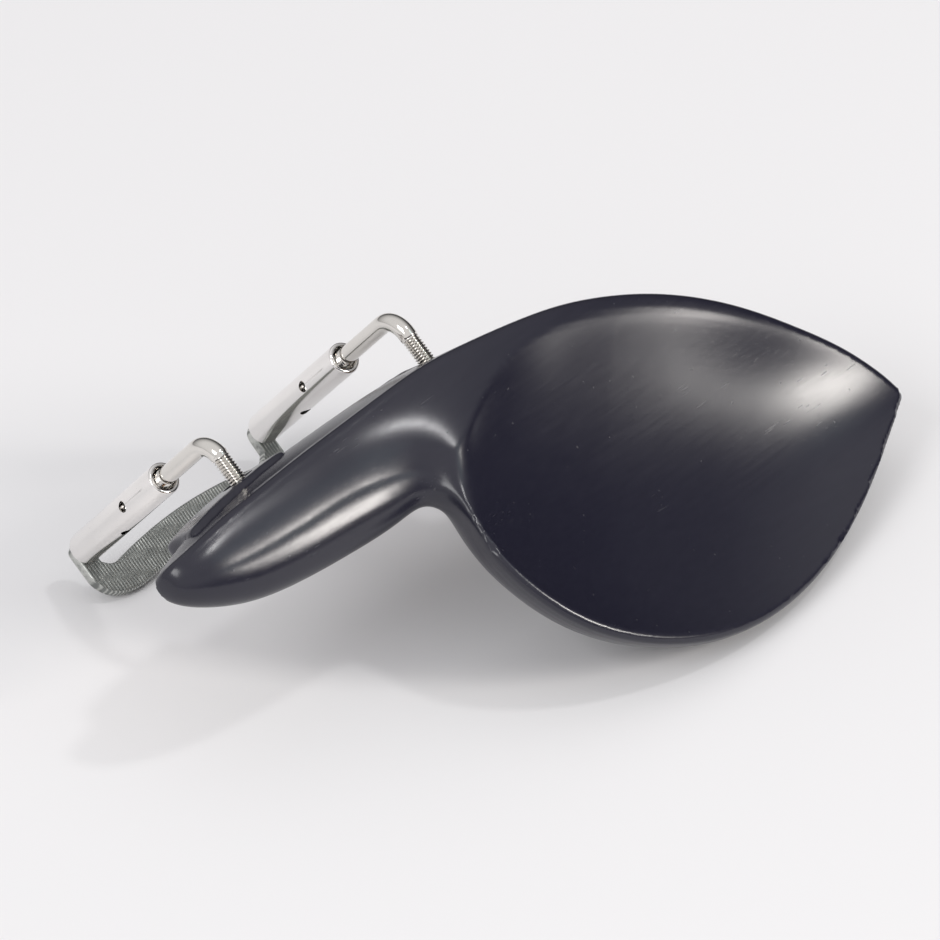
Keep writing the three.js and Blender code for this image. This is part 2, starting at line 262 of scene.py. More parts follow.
# %% Ebony
def ebony():
    look = Look("satin_ebony")
    fibre = look.noise((0.12, 1.6, 1.6), detail=4, rough=0.6)
    cloud = look.noise((0.03, 0.07, 0.07), detail=2)
    pore = look.step(look.noise((0.35, 5, 5), detail=1), 0.66, 0.74)
    sparse = look.step(look.noise((0.09, 0.09, 0.09), detail=1), 0.56, 0.7)
    hairline = look.step(look.noise((0.07, 3.2, 3.2), detail=0), 0.72, 0.77)
    scratch = hairline * sparse
    dust = look.step(look.noise((1.1, 1.1, 1.1), detail=1), 0.77, 0.8)
    mark = look.node("ShaderNodeMath", {"operation": "MAXIMUM"}, {0: scratch * 0.5, 1: dust})
    tone = look.blend(fibre, (0.0072, 0.0070, 0.0165, 1), (0.0130, 0.0125, 0.0240, 1))
    worn = look.blend(mark * 0.22, tone, (0.10, 0.10, 0.105, 1))
    height = fibre * 0.35 - pore * 0.5 - scratch * 0.4 + dust * 0.5
    return look.finish(
        Base_Color=worn,
        Roughness=0.16 + fibre * 0.06 + cloud * 0.08 + mark * 0.12,
        Normal=look.bump(height, 0.02, 0.25),
        IOR=1.55,
    )


# %% [markdown]
# The clamp is brass under nickel plate. The rods and barrels are polished, so they show the room,
# broken only by faint marks round the turning. The foot is stamped with fine ribs and stays dull.
# Nickel is warmer than chrome, which the base colour says.

# %% Nickel
def polished_nickel(name, colour, turned, mark):
    """turned is the stretch of the fine turning marks, and mark is how strong they are."""
    look = Look(name)
    lines = look.noise(turned, detail=2)
    haze = look.noise((0.25, 0.25, 0.25), detail=3)
    speck = look.step(look.noise((1.7, 1.7, 1.7), detail=1), 0.74, 0.8)
    dull = tuple(0.72 * part for part in colour[:3]) + (1,)
    return look.finish(
        Base_Color=look.blend(speck * 0.5 + haze * 0.25, colour, dull),
        Metallic=1.0,
        Roughness=0.05 + haze * 0.07 + lines * mark + speck * 0.1,
        Normal=look.bump(lines * 0.6 + speck * 0.4, 0.01, 0.12),
    )


def ribbed_nickel(pitch):
    look = Look("ribbed_nickel")
    across = look.node("ShaderNodeSeparateXYZ", {}, {"Vector": look.use()})
    wave = look.node("ShaderNodeMath", {"operation": "SINE"}, {0: across * (2 * math.pi / pitch)})
    patch = look.noise((0.5, 0.9, 0.9), detail=3, rough=0.65)
    grit = look.noise((3.2, 3.2, 3.2), detail=2)
    # The mask rises and falls with each rib, which is painted light and shade across the ribs, and with
    # random patches; where it is high the nickel is lighter and smoother.
    rib_shading_and_patches = look.step(wave * 0.5 + patch * 1.6, 0.55, 1.35)
    return look.finish(
        Base_Color=look.blend(rib_shading_and_patches, (0.25, 0.26, 0.25, 1), (0.60, 0.61, 0.58, 1)),
        Metallic=1.0,
        Roughness=0.46 - rib_shading_and_patches * 0.14 + grit * 0.1,
        Normal=look.bump(grit + patch, 0.03, 0.4),
    )


# %% [markdown]
# Cork is pressed from grains one or two millimetres wide, each with its own brown, and dark bark
# specks in the seams between them. Voronoi cells are just such grains.

# %% Cork
def cork():
    look = Look("sheet_cork")
    cells = {"Vector": look.use(), "Scale": 0.95, "Randomness": 1.0}
    grain = look.node("ShaderNodeTexVoronoi", {"feature": "F1"}, cells, output="Color")
    seam = look.node("ShaderNodeTexVoronoi", {"feature": "DISTANCE_TO_EDGE"}, cells, output="Distance")
    pick = look.node("ShaderNodeSeparateColor", {}, {"Color": grain})
    fine = look.noise((2.6, 2.6, 2.6), detail=4, rough=0.7)
    body = look.blend(pick, (0.40, 0.23, 0.11, 1), (0.62, 0.42, 0.24, 1))
    flecked = look.blend(look.step(fine, 0.58, 0.7) * 0.75, body, (0.14, 0.065, 0.03, 1))
    open_seam = 1 - look.step(seam, 0.02, 0.12)
    return look.finish(
        Base_Color=look.blend(open_seam * 0.7, flecked, (0.17, 0.085, 0.04, 1)),
        Roughness=0.86 + fine * 0.12,
        Normal=look.bump(fine * 0.6 - open_seam * 0.8, 0.12, 0.6),
    )


# %% [markdown]
# ## The wooden plate
# A carver saws the outline and then rasps the cup. A modeller does better with a loft: closed
# sections that stand one after another between two edges, the straight-backed rim on the clamp's
# side and the long curved inner edge. Each row below is one section, from the arm's rounded end to
# the tip of the cup. A natural cubic spline joins them, because a highlight shows every kink in
# slope that a plainer join would leave.

# %% The plate's sections
# rim x y z, inner x y z, crown, over, drop, under, rim under, deep, draft, hollow, start
SECTIONS = np.array([
    (45.4, 14.2, 8.8, 45.5, 15.4, 8.7, 0, 0.5, 0.6, 0.5, 0.4, 1.4, 0, 0, 0.66),
    (44.3, 13.2, 11.4, 44.6, 18.2, 10.4, 0.8, 2.5, 2.6, 2, 0.9, 3.6, 0.4, 0, 0.65),
    (40.5, 12.6, 13.4, 41.0, 21.4, 11.7, 1.6, 5, 4, 3, 0.8, 5, 1.2, 0, 0.64),
    (33.8, 11.7, 14.9, 34.0, 24.6, 12.8, 1.7, 7, 4.6, 3.5, 0.8, 5.6, 2.0, 0, 0.62),
    (25.5, 11.1, 16.0, 25.0, 26.4, 13.8, 1.9, 7, 4.8, 4, 0.8, 6, 2.6, 0, 0.6),
    (15.5, 10.5, 17.0, 15.0, 27.3, 15.0, 2.0, 7.5, 4.8, 4, 0.8, 6.6, 2.7, 0, 0.58),
    (5.5, 10.1, 18.0, 6.5, 27.6, 16.6, 1.8, 6.5, 4.5, 4, 0.8, 7.2, 2.5, 0, 0.55),
    (-4.0, 9.8, 19.2, 1.0, 28.0, 19.0, 1.8, 4, 3.6, 6, 0.8, 8, 2.2, 0.2, 0.51),
    (-12.0, 9.8, 20.3, 0.0, 32.0, 22.2, 1.2, 2, 1.6, 10, 1, 8.6, 1.8, 0.6, 0.6),
    (-20.5, 10.7, 21.3, 1.2, 39.0, 23.8, 0.8, 1.3, 1, 13, 1.2, 8.8, 1.4, 2.2, 0.33),
    (-29.5, 12.1, 22.0, 0.2, 46.8, 24.0, 0.5, 1.3, 1, 13, 2, 8.8, 1.0, 4.0, 0.12),
    (-39.0, 14.1, 22.4, -4.4, 56.0, 23.4, 0.2, 1.3, 1, 12, 5, 8.6, 0.4, 5.6, 0.06),
    (-49.0, 17.5, 22.2, -12.8, 64.2, 22.3, 0, 1.3, 1, 11, 7, 8.2, 0, 6.8, 0.04),
    (-59.0, 22.5, 21.7, -25.0, 70.6, 21.0, 0, 1.3, 1, 9.5, 7, 7.8, 0, 7.5, 0.03),
    (-69.0, 29.6, 20.7, -40.0, 73.4, 19.4, 0, 1.3, 1, 8, 6.5, 7.2, 0, 7.3, 0.03),
    (-78.0, 37.9, 19.0, -56.0, 71.8, 18.1, 0, 1.2, 1, 7, 6, 6.6, 0, 5.5, 0.02),
    (-85.0, 45.8, 17.5, -71.5, 66.6, 16.9, 0, 1.1, 0.9, 5.5, 5, 6, 0, 2.8, 0.02),
    (-89.4, 52.8, 16.1, -83.0, 61.0, 16.0, 0, 0.9, 0.8, 3, 3, 5, 0, 0.8, 0.02),
    (-90.7, 56.2, 15.4, -90.1, 57.3, 15.4, 0, 0.3, 0.4, 0.4, 0.4, 2.6, 0, 0, 0.02),
])


def natural_spline(knots, values):
    """A curve through the values whose slope and bend are both continuous."""
    gaps = np.diff(knots)
    slopes = np.diff(values, axis=0) / gaps[:, None]
    system = np.eye(len(knots))
    wanted = np.zeros_like(values)
    for i in range(1, len(knots) - 1):
        system[i, i - 1:i + 2] = gaps[i - 1], 2 * (gaps[i - 1] + gaps[i]), gaps[i]
        wanted[i] = 6 * (slopes[i] - slopes[i - 1])
    bend = np.linalg.solve(system, wanted)

    def at(place):
        i = int(np.clip(np.searchsorted(knots, place, side="right") - 1, 0, len(gaps) - 1))
        gap = gaps[i]
        a = (knots[i + 1] - place) / gap
        b = 1 - a
        curve = (a ** 3 - a) * bend[i] + (b ** 3 - b) * bend[i + 1]
        return a * values[i] + b * values[i + 1] + curve * gap * gap / 6

    return at


rim_steps = np.linalg.norm(np.diff(SECTIONS[:, 0:3], axis=0), axis=1)
inner_steps = np.linalg.norm(np.diff(SECTIONS[:, 3:6], axis=0), axis=1)
KNOTS = np.concatenate([[0], np.cumsum(np.sqrt(rim_steps + inner_steps))])
section_at = natural_spline(KNOTS, SECTIONS)
print("the loft's parameter runs to", round(float(KNOTS[-1]), 2))

# %% [markdown]
# One section is a closed loop of points: over the top, round the inner edge, back underneath, and up
# the rim-side wall. The cup falls ever more gently from its upper lip, and its floor then rises
# slowly to the inner edge. Such a bowl faces each way only once, so a lamp shows in it only once.

# %% One section's loop
HOLLOW_WALL = 0.62
HOLLOW_FALL = 2.2
HOLLOW_LIP = 0.04
FLOOR_SHARE = 0.77
RIM_ROUND = 1.3
TOP_POINTS = 46
EDGE_POINTS = 12
UNDER_POINTS = 24


def smoother(x):
    x = np.clip(x, 0, 1)
    return x ** 3 * (x * (6 * x - 15) + 10)


def plate_loop(place):
    row = section_at(place)
    rim, inner = row[0:3], row[3:6]
    crown, over, drop, under, rim_under, deep, draft, hollow, start = np.maximum(row[6:15], 0)
    width = np.linalg.norm(inner - rim)
    over, under = [min(max(part, 0.2) / width, 0.45) for part in (over, under)]
    rim_under = min(rim_under / width, 0.45)

    def sunk(q):
        s = np.clip((q - start) / (1 - start), 0, 1)
        still = np.clip(1 - s * s / (s + HOLLOW_LIP) / HOLLOW_WALL, 0, 1)
        return hollow * (1 - still ** HOLLOW_FALL) * (1 - s ** 4)

    def across(q):
        return rim + np.outer(q, inner - rim)

    def top(q):
        return across(q)[:, 2] + crown * 4 * q * (1 - q) - sunk(q)

    def bottom(q):
        return across(q)[:, 2] - deep - FLOOR_SHARE * sunk(q)

    first = min(RIM_ROUND / width, 0.3)
    last = 1 - over
    turn = np.linspace(0, math.pi / 2, EDGE_POINTS + 1)[1:]
    q_top = np.linspace(first, last, TOP_POINTS)
    top_end = float(top(np.array([last]))[0])
    low_end = float(bottom(np.array([1 - under]))[0])
    waist = top_end - drop
    q_under = np.linspace(1 - under, rim_under, UNDER_POINTS)[1:]
    wall_top = float(top(np.array([first]))[0]) - RIM_ROUND
    wall_foot = float(bottom(np.array([rim_under]))[0])
    rise = 1 - np.cos(turn)
    corner = turn[:-1]
    q = np.concatenate([
        q_top, last + over * np.sin(turn), 1 - under * (1 - np.cos(turn)), q_under,
        rim_under * (1 - np.sin(turn)), first * (1 - np.cos(corner)),
    ])
    z = np.concatenate([
        top(q_top), waist + drop * np.cos(turn), waist - (waist - low_end) * np.sin(turn),
        bottom(q_under), wall_foot + (wall_top - wall_foot) * rise,
        wall_top + RIM_ROUND * np.sin(corner),
    ])
    loop = across(q)
    loop[:, 2] = z
    wall = slice(len(q) - 2 * EDGE_POINTS + 1, len(q) - EDGE_POINTS + 1)
    loop[wall, 1] -= draft * (1 - rise)
    return loop


def stack(loops, closed_ends=True):
    """Joins closed loops of the same length into one skin, with a fan over each end."""
    size = len(loops[0])
    points = np.concatenate(list(loops))
    faces = []
    for i in range(len(loops) - 1):
        for j in range(size):
            k = (j + 1) % size
            faces.append((i * size + j, i * size + k, (i + 1) * size + k, (i + 1) * size + j))
    if closed_ends:
        ends = np.array([np.mean(loops[0], axis=0), np.mean(loops[-1], axis=0)])
        base = len(points)
        points = np.concatenate([points, ends])
        for j in range(size):
            k = (j + 1) % size
            faces.append((base, k, j))
            faces.append((base + 1, base - size + j, base - size + k))
    return points, faces


STATIONS = 300
skin = stack([plate_loop(place) for place in np.linspace(0, KNOTS[-1], STATIONS)])
shell = clean(build("plate_shell", *skin))
shell_tree = BVHTree.FromObject(shell, bpy.context.evaluated_depsgraph_get())
print("the plate's shell has", len(shell.data.polygons), "faces")

# %% [markdown]
# Two wooden feet grow out of the underside and carry the cork. Carved from the same block, they run
# into the plate in a fillet, and their outer side carries on the rim-side wall and its slope. Each
# foot is a stack of rings: a rounded bottom edge, the sides, and a flare that meets the underside
# wherever a ray sent up from below finds it.

# %% The wooden feet
FOOT_BOTTOM = 2.5
FOOT_REACH = 20.5
FOOT_ROUND = 4
FOOT_EDGE = 0.7
FLARE = 3.2
FLARE_START = 5
BURIED = 1.5
FAR_BELOW = -60
FOOT_LEAST = 8
FEET = {"left": (-23, 10.5), "right": (25, 11.5)}
FOOT_DRAFT = {"left": 0.6, "right": 0.8}


def wall_foot_y(x):
    """Where the foot of the rim-side wall is at x, found by halving."""
    low, high = 0.0, float(KNOTS[-1])
    for _ in range(30):
        middle = (low + high) / 2
        if section_at(middle)[0] > x:
            low = middle
        else:
            high = middle
    row = section_at(low)
    return row[1] - max(row[12], 0)


def resample(points, pitch):
    """Points at an even pitch along a closed outline."""
    closed = np.concatenate([points, points[:1]])
    along = np.concatenate([[0], np.cumsum(np.linalg.norm(np.diff(closed, axis=0), axis=1))])
    places = np.linspace(0, along[-1], int(along[-1] / pitch), endpoint=False)
    return np.stack([np.interp(places, along, closed[:, axis]) for axis in (0, 1)], axis=1)


def arc(centre, radius, first, last, count=12):
    angles = np.radians(np.linspace(first, last, count))
    return np.stack([centre[0] + radius * np.cos(angles), centre[1] + radius * np.sin(angles)], axis=1)


def foot_outline(side):
    x, half = FEET[side]
    wall = np.array([(px, wall_foot_y(px)) for px in np.linspace(x - half, x + half, 24)])
    near = FOOT_REACH - FOOT_ROUND
    last = arc((x + half - FOOT_ROUND, near), FOOT_ROUND, 0, 90)
    first = arc((x - half + FOOT_ROUND, near), FOOT_ROUND, 90, 180)
    return resample(np.concatenate([wall, last, first]), 0.5)


def outward(outline):
    """Unit normals of an outline that runs counterclockwise."""
    step = np.roll(outline, -1, axis=0) - np.roll(outline, 1, axis=0)
    return np.stack([step[:, 1], -step[:, 0]], axis=1) / np.linalg.norm(step, axis=1)[:, None]


def underside(x, y):
    """The height of the shell's underside, or, past its edge, the least height of a foot."""
    hit = shell_tree.ray_cast(Vector((x, y, FAR_BELOW)), Vector((0, 0, 1)))[0]
    return hit.z if hit else FOOT_BOTTOM + FOOT_LEAST


def foot_block(side):
    outline = foot_outline(side)
    normal = outward(outline)
    from_wall = np.array([y - wall_foot_y(x) for x, y in outline])
    flare = FLARE * smoother(from_wall / FLARE_START)
    spread = outline + normal * flare[:, None]
    roof = np.array([underside(x, y) for x, y in spread])
    stand_out = FOOT_DRAFT[side] * (1 - smoother(from_wall / RIM_ROUND)) / (roof.min() - FOOT_BOTTOM)
    rings = []
    for angle in np.linspace(0, math.pi / 2, 5):
        ring = outline - normal * FOOT_EDGE * (1 - math.sin(angle))
        height = FOOT_BOTTOM + FOOT_EDGE * (1 - math.cos(angle))
        rings.append(np.column_stack([ring, np.full(len(ring), height)]))
    for angle in np.linspace(0, math.pi / 2, 9):
        ring = outline + normal * (flare * (1 - math.cos(angle)))[:, None]
        rings.append(np.column_stack([ring, roof - flare * (1 - math.sin(angle))]))
    rings.append(np.column_stack([spread, roof + BURIED]))
    for ring in rings:
        ring[:, 1] -= stand_out * np.maximum(roof.min() - ring[:, 2], 0)
    return clean(build("foot_" + side, *stack(rings)))


feet = [foot_block(side) for side in FEET]

# %% [markdown]
# The shell and the feet become one piece of wood by a voxel remesh, which also closes every seam.
# Then a light smoothing softens the joins, and every point that still lies on the carved shell is
# put back on it, so that the polished top keeps the loft's clean curves. A second, shorter round
# does the same for the lip, where the first one leaves small steps.

# %% One piece of wood
VOXEL = 0.42
SMOOTHING = (14, 2)
EASE = 0.6
NEAR, FAR = 0.16, 0.4


def neighbours_mean(count, edges, points):
    total = np.zeros_like(points)
    np.add.at(total, edges[:, 0], points[edges[:, 1]])
    np.add.at(total, edges[:, 1], points[edges[:, 0]])
    return total / count[:, None]


def relax(piece, rounds, back=None):
    """Evens out the mesh, and then back(point), if there is one, gives each point's last place."""
    mesh = piece.data
    edges = np.zeros(len(mesh.edges) * 2, dtype=int)
    mesh.edges.foreach_get("vertices", edges)
    edges = edges.reshape(-1, 2)
    count = np.maximum(np.bincount(edges.ravel(), minlength=len(mesh.vertices)), 1)
    points = np.zeros(len(mesh.vertices) * 3)
    mesh.vertices.foreach_get("co", points)
    points = points.reshape(-1, 3)
    for _ in range(rounds):
        points += EASE * (neighbours_mean(count, edges, points) - points)
    if back:
        points = np.array([back(point) for point in points])
    mesh.vertices.foreach_set("co", points.ravel())
    mesh.update()


def onto_shell(point):
    found, _, _, distance = shell_tree.find_nearest(Vector(point))
    keep = 1 - float(smoother((distance - NEAR) / (FAR - NEAR)))
    return np.array(found) * keep + point * (1 - keep)


plate = clean(build("ebony_plate", *skin))
for foot in feet:
    work = bmesh.new()
    work.from_mesh(plate.data)
    work.from_mesh(foot.data)
    work.to_mesh(plate.data)
    work.free()
    bpy.data.objects.remove(foot)
remesh = plate.modifiers.new("wood", "REMESH")
remesh.mode = "VOXEL"
remesh.voxel_size = VOXEL
apply_modifiers(plate)
for rounds in SMOOTHING:
    relax(plate, rounds, onto_shell)
print("the wood has", len(plate.data.vertices), "points")

# %% [markdown]
# The clamp's two hooks screw into the rim-side wall. Each hole is drilled, and then sunk a little,
# so a dark ring shows round the rod. The tool for both is one turned shape.

# %% The hooks' holes
BARREL_TOP = -7.8
BARREL_LENGTH = 30
ROD_RADIUS = 1.5
HOOK_BEND = 3.6
HOOKS = {"left": (-BARREL_X, 9.0), "right": (BARREL_X, 7.6)}
HOLE_RADIUS, HOLE_DEPTH = 1.9, 9.5
SINK_RADIUS, SINK_DEPTH = 2.8, 1.2
SINK_EDGE = 0.3
DRILL_ABOVE = 4


def turned(profile, sides, closed=False):
    """Loops round Z for a profile of (radius, height) pairs."""
    angles = np.linspace(0, 2 * math.pi, sides, endpoint=False)
    ring = np.column_stack([np.cos(angles), np.sin(angles)])
    loops = [np.column_stack([ring * radius, np.full(sides, height)]) for radius, height in profile]
    if closed:
        return stack(loops + [loops[0]], closed_ends=False)
    return stack(loops)


def move(piece, matrix):
    piece.data.transform(matrix)
    return piece


INTO_WOOD = Matrix.Rotation(-math.pi / 2, 4, "X")
for side, (x, height) in HOOKS.items():
    profile = [
        (SINK_RADIUS, -DRILL_ABOVE), (SINK_RADIUS, SINK_DEPTH - SINK_EDGE),
        (SINK_RADIUS - SINK_EDGE, SINK_DEPTH), (HOLE_RADIUS, SINK_DEPTH), (HOLE_RADIUS, HOLE_DEPTH),
    ]
    drill = clean(build("drill_" + side, *turned(profile, 64)))
    move(drill, Matrix.Translation((x, wall_foot_y(x), height)) @ INTO_WOOD)
    cut(plate, drill)
bpy.data.objects.remove(shell)
settle(plate, ebony(), "plate", "chin_plate")

# %% [markdown]
# ## Cork pads
# A pad is cut from sheet cork with a knife and glued under the foot, so its edges are straight but
# crumbly. It is a remeshed slab whose points are pushed about by a seeded noise.

# %% Cork pads
from mathutils import noise

PAD_MARGIN = 1.5
PAD_CORNER = 2.5
PAD_START = 12
PAD_CRUMB = 0.1
PAD_THICK = 2.3
PAD_EDGE = 0.2
PAD_VOXEL = 0.24
cork_look = cork()


def pad(side):
    x, half = FEET[side]
    half -= PAD_MARGIN + PAD_CORNER
    near, far = PAD_START + PAD_CORNER, FOOT_REACH - PAD_MARGIN / 2 - PAD_CORNER
    corners = [(x + half, near), (x + half, far), (x - half, far), (x - half, near)]
    arcs = [arc(at, PAD_CORNER, 90 * i - 90, 90 * i) for i, at in enumerate(corners)]
    outline = resample(np.concatenate(arcs), 0.4)
    inset = outline - outward(outline) * PAD_EDGE
    heights = [(inset, 0.0), (outline, PAD_EDGE), (outline, PAD_THICK), (inset, FOOT_BOTTOM)]
    rings = [np.column_stack([ring, np.full(len(ring), z)]) for ring, z in heights]
    piece = clean(build("cork_pad_" + side + "_skin", *stack(rings)))
    step = piece.modifiers.new("grains", "REMESH")
    step.mode = "VOXEL"
    step.voxel_size = PAD_VOXEL
    apply_modifiers(piece)
    relax(piece, 2)
    for vertex in piece.data.vertices:
        crumb = noise.noise(vertex.co * 1.3) + 0.5 * noise.noise(vertex.co * 3.1)
        inward = PAD_CRUMB * (crumb - 0.75)
        vertex.co = vertex.co + vertex.normal * inward
    return settle(piece, cork_look, "plate", "cork_pad_" + side)


for side in FEET:
    pad(side)

# %% [markdown]
# ## Hooks
# Each hook is a 3 mm rod bent through a right angle, with a thread cut at both ends: one sits in the
# barrel, and the other screws into the wood. It is a ring swept along the rod's path. Where there is
# thread, the ring's radius follows a helix, half a millimetre a turn, and the barrel's end turns the
# other way, since a turnbuckle has one left-hand and one right-hand thread.

# %% Threads and hooks
THREAD_PITCH = 0.5
THREAD_DEPTH = 0.28
ROD_SIDES = 36
HOOK_TIP_Y = 17
ROD_IN_BARREL = 12
WOOD_THREAD = 5.2
BARREL_THREAD_ABOVE = 1.2
TIP_LENGTH = 0.3
TIP_INSET = 0.35
TURN_STEPS = 6
angles = np.linspace(0, 2 * math.pi, ROD_SIDES, endpoint=False)


def thread_radius(along, start, end, turn):
    """The rod's radius at each angle, cut by a triangular thread between start and end."""
    phase = (along / THREAD_PITCH + turn * angles / (2 * math.pi)) % 1
    groove = np.abs(2 * phase - 1) ** 0.8
    run_in = min(1, max(0, (along - start) / THREAD_PITCH), max(0, (end - along) / THREAD_PITCH))
    return ROD_RADIUS - THREAD_DEPTH * groove * run_in


def hook_point(side, along):
    """The rod's middle and its own up direction at a length along it, from its lower end."""
    x, height = HOOKS[side]
    low = BARREL_TOP - ROD_IN_BARREL
    straight = height - HOOK_BEND - low
    quarter = HOOK_BEND * math.pi / 2
    if along < straight:
        return np.array((x, 0, low + along)), np.array((0, 0, 1.0))
    if along < straight + quarter:
        turn = (along - straight) / HOOK_BEND
        middle = (x, HOOK_BEND * (1 - math.cos(turn)), height - HOOK_BEND * (1 - math.sin(turn)))
        return np.array(middle), np.array((0, math.sin(turn), math.cos(turn)))
    return np.array((x, HOOK_BEND + along - straight - quarter, height)), np.array((0, 1.0, 0))


def ring_at(middle, forward, radius):
    side = np.array((1.0, 0, 0))
    other = np.cross(forward, side)
    return middle + np.outer(np.cos(angles) * radius, side) + np.outer(np.sin(angles) * radius, other)


def hook(side):
    x, height = HOOKS[side]
    straight = height - HOOK_BEND - BARREL_TOP + ROD_IN_BARREL
    bend_end = straight + HOOK_BEND * math.pi / 2
    length = bend_end + HOOK_TIP_Y - HOOK_BEND
    barrel_end = ROD_IN_BARREL + BARREL_THREAD_ABOVE
    wood_start = bend_end + wall_foot_y(x) - HOOK_BEND - WOOD_THREAD
    fine = THREAD_PITCH / TURN_STEPS
    places = np.concatenate([
        np.arange(TIP_LENGTH, barrel_end, fine), np.linspace(barrel_end, straight, 12),
        np.linspace(straight, bend_end, 22)[1:], np.linspace(bend_end, wood_start, 4)[1:],
        np.arange(wood_start, length - TIP_LENGTH, fine)[1:],
    ])
    tip = np.full(ROD_SIDES, ROD_RADIUS - TIP_INSET)
    rings = [ring_at(*hook_point(side, 0), tip)]
    for along in places:
        radius = np.full(ROD_SIDES, ROD_RADIUS)
        if along < barrel_end:
            radius = thread_radius(along, 0, barrel_end, -1)
        if along > wood_start:
            radius = thread_radius(along, wood_start, length, 1)
        rings.append(ring_at(*hook_point(side, along), radius))
    rings.append(ring_at(*hook_point(side, length), tip))
    piece = clean(build("hook_" + side + "_rod", *stack(rings)))
    return settle(piece, rod_look, "plate", "hook_" + side)


rod_look = polished_nickel("rod_nickel", (0.78, 0.755, 0.715, 1), (0.8, 0.8, 5), 0.03)
for side in HOOKS:
    hook(side)

# %% [markdown]
# ## Barrels
# A barrel is a turnbuckle nut, turned from bar: a plain tube with a rounded lower end, a thread in
# its bore, and two crossed holes, one above the other, for the pin that turns it. The turned profile
# goes once round the wall, so the bore is real, and its first turns of thread are grooves.

# %% Barrels
BARREL_RADIUS = 2.7
BORE_RADIUS = 1.8
KEY_RADIUS = 0.95
KEY_HOLES = ((10.4, -15), (16.2, 75))
LOWER_ROUND = 1.0
UPPER_ROUND = 0.35
MOUTH = 0.35
LOWER_MOUTH = 0.3
BORE_THREAD = 7
BORE_THREAD_START = 0.6
BORE_GROOVE = 0.16
BARREL_SIDES = 96
barrel_look = polished_nickel("barrel_nickel", (0.90, 0.88, 0.86, 1), (0.4, 0.4, 9), 0.02)


def barrel_profile():
    low = -BARREL_LENGTH
    lower = arc((BARREL_RADIUS - LOWER_ROUND, low + LOWER_ROUND), LOWER_ROUND, -90, 0, 9)
    upper = arc((BARREL_RADIUS - UPPER_ROUND, -UPPER_ROUND), UPPER_ROUND, 0, 90, 6)
    mouth = [(BORE_RADIUS + MOUTH, 0), (BORE_RADIUS, -MOUTH)]
    thread = []
    for i in range(int(BORE_THREAD / THREAD_PITCH)):
        top = -BORE_THREAD_START - i * THREAD_PITCH
        thread += [(BORE_RADIUS, top), (BORE_RADIUS + BORE_GROOVE, top - THREAD_PITCH / 2)]
    plain = (BORE_RADIUS, -BORE_THREAD_START - BORE_THREAD)
    bore = [plain, (BORE_RADIUS, low + LOWER_MOUTH), (BORE_RADIUS + LOWER_MOUTH, low)]
    return [tuple(point) for point in lower] + [tuple(point) for point in upper] + mouth + thread + bore


def barrel(side):
    x = HOOKS[side][0]
    piece = clean(build("barrel_" + side + "_tube", *turned(barrel_profile(), BARREL_SIDES, closed=True)))
    reach = 2 * BARREL_RADIUS
    for drop, turn in KEY_HOLES:
        tool = clean(build("key_hole", *turned([(KEY_RADIUS, -reach), (KEY_RADIUS, reach)], 40)))
        sideways = Matrix.Rotation(math.radians(turn), 4, "Z") @ Matrix.Rotation(math.pi / 2, 4, "Y")
        move(tool, Matrix.Translation((0, 0, -drop)) @ sideways)
        cut(piece, tool)
    move(piece, Matrix.Translation((x, 0, BARREL_TOP)))
    return settle(piece, barrel_look, f"barrel_{side}_body", "barrel_" + side)


for side in HOOKS:
    barrel(side)

# %% [markdown]
# ## The clamp's foot
# The lower foot is one piece of brass: a flat band that bows under the violin's edge, and two
# threaded legs that the barrels draw up. Its grip comes from fine ribs stamped across the band. The
# band is a loft along X, with stations fine enough to carve each rib, and the legs are joined to it.

# %% The band
LEG_HALF = 1.6
BAND_THICK = 2.0
BAND_INNER = 10.0
BAND_WIDTH = 6.2
BAND_BOW = 1.8
BAND_CORNER = 6.6
END_TAPER = 7.9
BAND_EDGE = 0.4
NECK = 3.0
NECK_RISE = 0.7
RIB_PITCH = 0.56
RIB_DEPTH = 0.11
FOOT_GAP = 0.3
BAND_TOP = BARREL_TOP - BARREL_LENGTH - FOOT_GAP
BAND_HALF = BARREL_X + LEG_HALF
rng = np.random.default_rng(7)
rib_strength = 0.55 + 0.45 * rng.random(200)


def inner_edge(x):
    """The band's edge towards the wood: a shallow bow, rounded off at both ends."""
    flat = BAND_HALF - END_TAPER
    if x > flat:
        t = math.sqrt(max(0.0, (BAND_HALF - x) / END_TAPER))
        start = BAND_INNER - BAND_CORNER
        return start + 2 * BAND_CORNER * t - BAND_CORNER * t * t
    share = (x + flat) / (2 * flat)
    return BAND_INNER - 2 * BAND_BOW * share * (1 - share)


def outer_edge(x):
    """The band's far edge: a deeper bow between the legs, and the legs' own round."""
    inner_leg = BARREL_X - LEG_HALF
    base = BAND_INNER - BAND_WIDTH
    neck = inner_leg - NECK
    if x > inner_leg:
        return -math.sqrt(max(0.0, LEG_HALF ** 2 - (x - BARREL_X) ** 2))
    if x > neck:
        t = (x - neck) / NECK
        return base + NECK_RISE - (1 + NECK_RISE) * t ** 2.6
    share = (x + neck) / (2 * neck)
    dip = BAND_BOW + 2 * NECK_RISE
    return base + NECK_RISE - 2 * dip * share * (1 - share)


def rib(x, y):
    """How deep the stamped ribs are at a point of the band."""
    wobble = 0.12 * math.sin(0.9 * y + 0.35 * x)
    place = (x + wobble) / RIB_PITCH
    near = int(round(place)) % len(rib_strength)
    return RIB_DEPTH * rib_strength[near] * (0.5 + 0.5 * math.cos(2 * math.pi * place))


